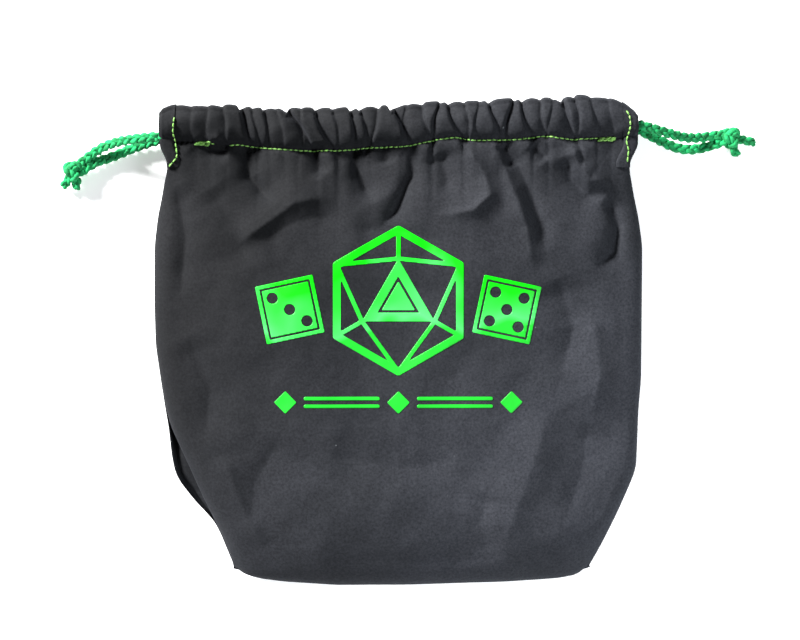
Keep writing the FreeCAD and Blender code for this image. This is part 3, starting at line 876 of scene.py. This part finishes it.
def die20(px, py):
    rim = polygon(0, PRINT_Y, DIE20_RADIUS - 1.6, 6, 90)
    tri = polygon(0, PRINT_Y, DIE20_RADIUS * 0.56, 3, 90)
    d = np.minimum.reduce([stroke(px, py, rim[i], rim[(i + 1) % 6], 3.4) for i in range(6)])
    d = np.minimum(d, inside_polygon(px, py, tri))
    for i, j in ((0, 0), (0, 1), (0, 5), (1, 1), (1, 2), (1, 3), (2, 3), (2, 4), (2, 5)):
        d = np.minimum(d, stroke(px, py, tri[i], rim[j], 1.9))
    small = [(x * 0.52, PRINT_Y + (y - PRINT_Y) * 0.52) for x, y in tri]
    return np.maximum(d, -np.abs(inside_polygon(px, py, small)) + 0.55)


def die6(side, pips):
    turn = 45 + side * -12
    a = math.radians(turn - 45)
    cx, cy = side * DIE6_X, DIE6_Y

    def field(px, py):
        square = polygon(cx, cy, (DIE6_SIDE - 2 * DIE6_MARGIN) / math.sqrt(2), 4, turn)
        d = inside_polygon(px, py, square) - DIE6_MARGIN
        for u, v in pips:
            x = cx + DIE6_SIDE * 0.25 * (u * math.cos(a) - v * math.sin(a))
            y = cy + DIE6_SIDE * 0.25 * (u * math.sin(a) + v * math.cos(a))
            d = np.maximum(d, PIP_RADIUS - np.hypot(px - x, py - y))
        edge = inside_polygon(px, py, polygon(cx, cy, (DIE6_SIDE - 4.2) / math.sqrt(2), 4, turn))
        return np.maximum(d, 0.45 - np.abs(edge))
    return field


def band(px, py):
    d = np.full(px.shape, 1e9)
    for x in (-50, 0, 50):
        d = np.minimum(d, inside_polygon(px, py, polygon(x, BAND_Y, 5.0, 4, 0)))
    for x0, x1 in ((-42, -8), (8, 42)):
        for dy, w in ((-1.7, 1.6), (1.7, 1.6)):
            d = np.minimum(d, stroke(px, py, (x0 + 1, BAND_Y + dy), (x1 - 1, BAND_Y + dy), w))
    return d


def film(name, node, field, x0, x1, y0, y1, step=0.55):
    """A thin film over the front cloth, wherever field is below zero."""
    xs, ys = np.arange(x0, x1, step), np.arange(y0, y1, step)
    gx, gy = np.meshgrid(xs, ys)
    f = field(gx, gy)
    points, index, faces = [], {}, []

    def corner(i, j):
        key = ("c", i, j)
        if key not in index:
            index[key] = len(points)
            points.append((gx[i, j], gy[i, j]))
        return index[key]

    def edge(i, j, k, m):
        key = ("e",) + tuple(sorted(((i, j), (k, m))))
        if key not in index:
            t = f[i, j] / (f[i, j] - f[k, m])
            index[key] = len(points)
            points.append((gx[i, j] + t * (gx[k, m] - gx[i, j]), gy[i, j] + t * (gy[k, m] - gy[i, j])))
        return index[key]

    for i in range(len(ys) - 1):
        row = f[i:i + 2]
        for j in np.flatnonzero((row[:, :-1].min(axis=0) < 0) | (row[:, 1:].min(axis=0) < 0)):
            j = int(j)
            ring = [(i, j), (i, j + 1), (i + 1, j + 1), (i + 1, j)]
            face = []
            for (a, b), (c, d) in zip(ring, ring[1:] + ring[:1]):
                if f[a, b] < 0:
                    face.append(corner(a, b))
                if (f[a, b] < 0) != (f[c, d] < 0):
                    face.append(edge(a, b, c, d))
            if len(face) > 2:
                faces.append(face)
    p = np.array(points)
    z = surface_z(p[:, 0], p[:, 1])
    count = len(p)
    top = np.column_stack([p, z + FILM_ABOVE])
    low = np.column_stack([p, z - FILM_BELOW])
    used = dict.fromkeys(pair for face in faces for pair in zip(face, face[1:] + face[:1]))
    walls = [[b, a, a + count, b + count] for a, b in used if (b, a) not in used]
    under = [[v + count for v in face[::-1]] for face in faces]
    obj = mesh(name, np.concatenate([top, low]), faces + under + walls)
    return finish_piece(obj, FILM, [node])


film("print_twenty_sided_die", "emblem_centre", die20, -31, 31, PRINT_Y - 35, PRINT_Y + 35)
three_pips = ((-1, 1), (0, 0), (1, -1))
five_pips = ((-1, 1), (1, 1), (0, 0), (-1, -1), (1, -1))
film("print_left_die", "emblem_left", die6(-1, three_pips), -68, -28, -4, 36)
film("print_right_die", "emblem_right", die6(1, five_pips), 28, 68, -4, 36)
film("print_band", "emblem_band", band, -57, 57, BAND_Y - 7, BAND_Y + 7)


# ---------- drawstrings ----------

def nurbs_line(points):
    """Points along a smooth curve through given control points, in millimetres."""
    data = bpy.data.curves.new("route", "CURVE")
    data.dimensions = "3D"
    data.resolution_u = 24
    spline = data.splines.new("NURBS")
    spline.points.add(len(points) - 1)
    for p, q in zip(spline.points, points):
        p.co = (q[0] * MM, q[1] * MM, q[2] * MM, 1)
    spline.order_u = 3
    spline.use_endpoint_u = True
    obj = bpy.data.objects.new("route", data)
    m = bpy.data.meshes.new_from_object(obj)
    line = np.array([v.co for v in m.vertices], float) / MM
    bpy.data.objects.remove(obj)
    bpy.data.curves.remove(data)
    bpy.data.meshes.remove(m)
    return line


def respaced(line, step):
    run = np.concatenate([[0], np.cumsum(np.linalg.norm(np.diff(line, axis=0), axis=1))])
    at = np.linspace(0, run[-1], max(8, int(run[-1] / step)))
    return np.stack([np.interp(at, run, line[:, k]) for k in range(3)], axis=1), at


def braid(line, seed, phase=0.0, size=CORD, fuzz=1.0):
    """Three spun strands braided along a line, with loose fibres."""
    line, run = respaced(line, 0.4)
    t = np.gradient(line, axis=0)
    t /= np.linalg.norm(t, axis=1, keepdims=True)
    side = np.cross(t, (0, 0, 1))
    weak = np.linalg.norm(side, axis=1) < 0.15
    side[weak] = np.cross(t[weak], (0, 1, 0))
    side /= np.linalg.norm(side, axis=1, keepdims=True)
    top = np.cross(side, t)
    r = size * 0.245
    parts, centres = [], []
    for k in range(3):
        a = run * 2 * math.pi / 11.5 + phase + k * 2 * math.pi / 3
        c = (line + side * (size * 0.262 * np.sin(a))[:, None]
             + top * (size * 0.17 * np.sin(2 * a))[:, None])
        ends = np.minimum(1, 0.75 + np.minimum(run, run[-1] - run) / 2)
        parts.append(tube(c, r * ends, 14, twist=2.3, ply=0.13))
        centres.append(c)
    rng = np.random.RandomState(seed)
    for _ in range(int(len(line) * 1.6 * fuzz)):
        c = centres[rng.randint(3)]
        at = c[rng.randint(len(c))]
        out = rng.normal(size=3)
        out /= np.linalg.norm(out)
        bend = rng.normal(size=3) * 0.5
        h = np.linspace(0, 1, 5)[:, None]
        hair = at + out * (r * 0.8 + h * rng.uniform(0.5, 1.5)) + bend * h ** 2
        hair[:, 2] = np.maximum(hair[:, 2], 0.15)
        parts.append(tube(hair, 0.045 * (1 - 0.6 * h[:, 0]), 3))
    return parts


def lifted(parts):
    return [(np.column_stack([p[:, :2], np.maximum(p[:, 2], 0.12)]), f) for p, f in parts]


def knot_parts(centre, seed):
    """An overhand knot of the doubled cord, drawn tight."""
    a = np.linspace(0, 2 * math.pi, 150)
    x = np.sin(a) + 2 * np.sin(2 * a)
    y = np.cos(a) - 2 * np.cos(2 * a)
    z = -np.sin(3 * a)
    c = np.array(centre, float)
    line = np.stack([x * 0.74, y * 1.0, z * 1.5], axis=1) + c
    return braid(line, seed, 0.4, 4.9, 1.8)


def loop_line(side, y):
    """The cord through both casings and round the far hem, kept clear of the wavy stitches."""
    rise = (FRONT_RUN_Z - BACK_RUN_Z) / 2
    mid = (FRONT_RUN_Z + BACK_RUN_Z) / 2
    turn_x = -side * (HEM_OUT - CORD / 2 - 0.2 - rise)
    a = np.linspace(math.pi / 2, -math.pi / 2, 40)
    bend = np.stack([turn_x - side * rise * np.cos(a), a * 0 + y, mid + rise * np.sin(a)], axis=1)
    xs = np.linspace(side * CORD_EXIT_X, turn_x, 200)[:, None]
    runs = [np.column_stack([xs, xs * 0 + y, xs * 0 + z]) for z in (FRONT_RUN_Z, BACK_RUN_Z)]
    line = np.concatenate([runs[0], bend, runs[1][::-1]])
    inward = smoothstep((CORD_EXIT_X - line[:, 0] * side) / 14)
    line[:, 1] += ((LEFT_LOOP_Y if side < 0 else RIGHT_LOOP_Y) - y) * inward
    line[:, 2] += np.where(line[:, 2] > mid, -1.0, 0.2) * inward
    return line


for side, word, cord_y in ((-1, "left", LEFT_CORD_Y), (1, "right", RIGHT_CORD_Y)):
    body = f"{word}_drawstring"
    run = braid(loop_line(side, cord_y), 100 + side, size=LOOP_SIZE, fuzz=0.3)
    loop = joined(f"{word}_cord_in_casing", lifted(run))
    finish_piece(loop, CORD_YARN, [f"{word}_drawstring_loop"], body)
    knot = joined(f"{word}_tied_knot", lifted(knot_parts(KNOTS[word], 200 + side)))
    finish_piece(knot, CORD_YARN, [f"{word}_knot"], body)
    ends = []
    for i, (a, b) in enumerate(ENDS[word]):
        line = np.linspace(a, b, 30)
        line[:, 2] += 0.5 * np.sin(np.linspace(0, math.pi, 30))
        ends += braid(line, 300 + i + side, 1.0 + i, 4.2, 3.0)
    tips = joined(f"{word}_cut_ends", lifted(ends))
    finish_piece(tips, CORD_YARN, [f"{word}_cord_ends"], body)
    for i, face in enumerate(("front", "back")):
        node = f"{word}_{face}_tail"
        line = nurbs_line(ROUTES[node])
        run = float(np.linalg.norm(np.diff(line, axis=0), axis=1).sum())
        tail = joined(f"{node}_braid", lifted(braid(line, 400 + i + side, 0.8 * i)))
        finish_piece(tail, CORD_YARN, [node], body)


# ---------- stage ----------

def stage():
    data = bpy.data.meshes.new("floor")
    data.from_pydata([(-3, -3, 0), (3, -3, 0), (3, 3, 0), (-3, 3, 0)], [], [[0, 1, 2, 3]])
    floor = bpy.data.objects.new("floor", data)
    bpy.context.scene.collection.objects.link(floor)
    m, tree, shader = nodes_of("pale_floor")
    at = add(tree, "ShaderNodeTexCoord").outputs["Object"]
    paper = add(tree, "ShaderNodeTexNoise", Scale=60.0, Detail=3.0)
    tree.links.new(at, paper.inputs["Vector"])
    colour = ramp(tree, paper.outputs[0], ((0.3, (0.88, 0.88, 0.88)), (0.7, (0.91, 0.91, 0.91))))
    tree.links.new(colour, shader.inputs["Base Color"])
    shader.inputs["Roughness"].default_value = 0.9
    shader.inputs["Emission Color"].default_value = (1, 1, 1, 1)
    shader.inputs["Emission Strength"].default_value = 0.45
    floor.data.materials.append(m)


def area(name, at, to, size, power, colour=(1, 1, 1)):
    light = bpy.data.lights.new(name, "AREA")
    light.size = size
    light.energy = power
    light.color = colour
    obj = bpy.data.objects.new(name, light)
    obj.location = at
    obj.rotation_euler = (Vector(to) - Vector(at)).to_track_quat("-Z", "Y").to_euler()
    bpy.context.scene.collection.objects.link(obj)


stage()
area("key", (-2.1, 1.75, 1.22), (0, 0, 0), 0.6, 430)
area("fill", (0.44, -0.36, 0.40), (0.08, -0.04, 0), 0.36, 5.0, (0.90, 0.95, 1.0))
world = bpy.data.worlds.new("studio")
bpy.context.scene.world = world
world.use_nodes = True
world.node_tree.nodes["Background"].inputs[0].default_value = (1, 1, 1, 1)
world.node_tree.nodes["Background"].inputs[1].default_value = 0.14

camera = bpy.data.objects.new("camera", bpy.data.cameras.new("camera"))
camera.data.sensor_width = 36
camera.data.lens = 90.4
camera.location = (0.0007, 0.0114, 0.913)
bpy.context.scene.collection.objects.link(camera)
bpy.context.scene.camera = camera
bpy.context.scene.view_settings.view_transform = "Standard"
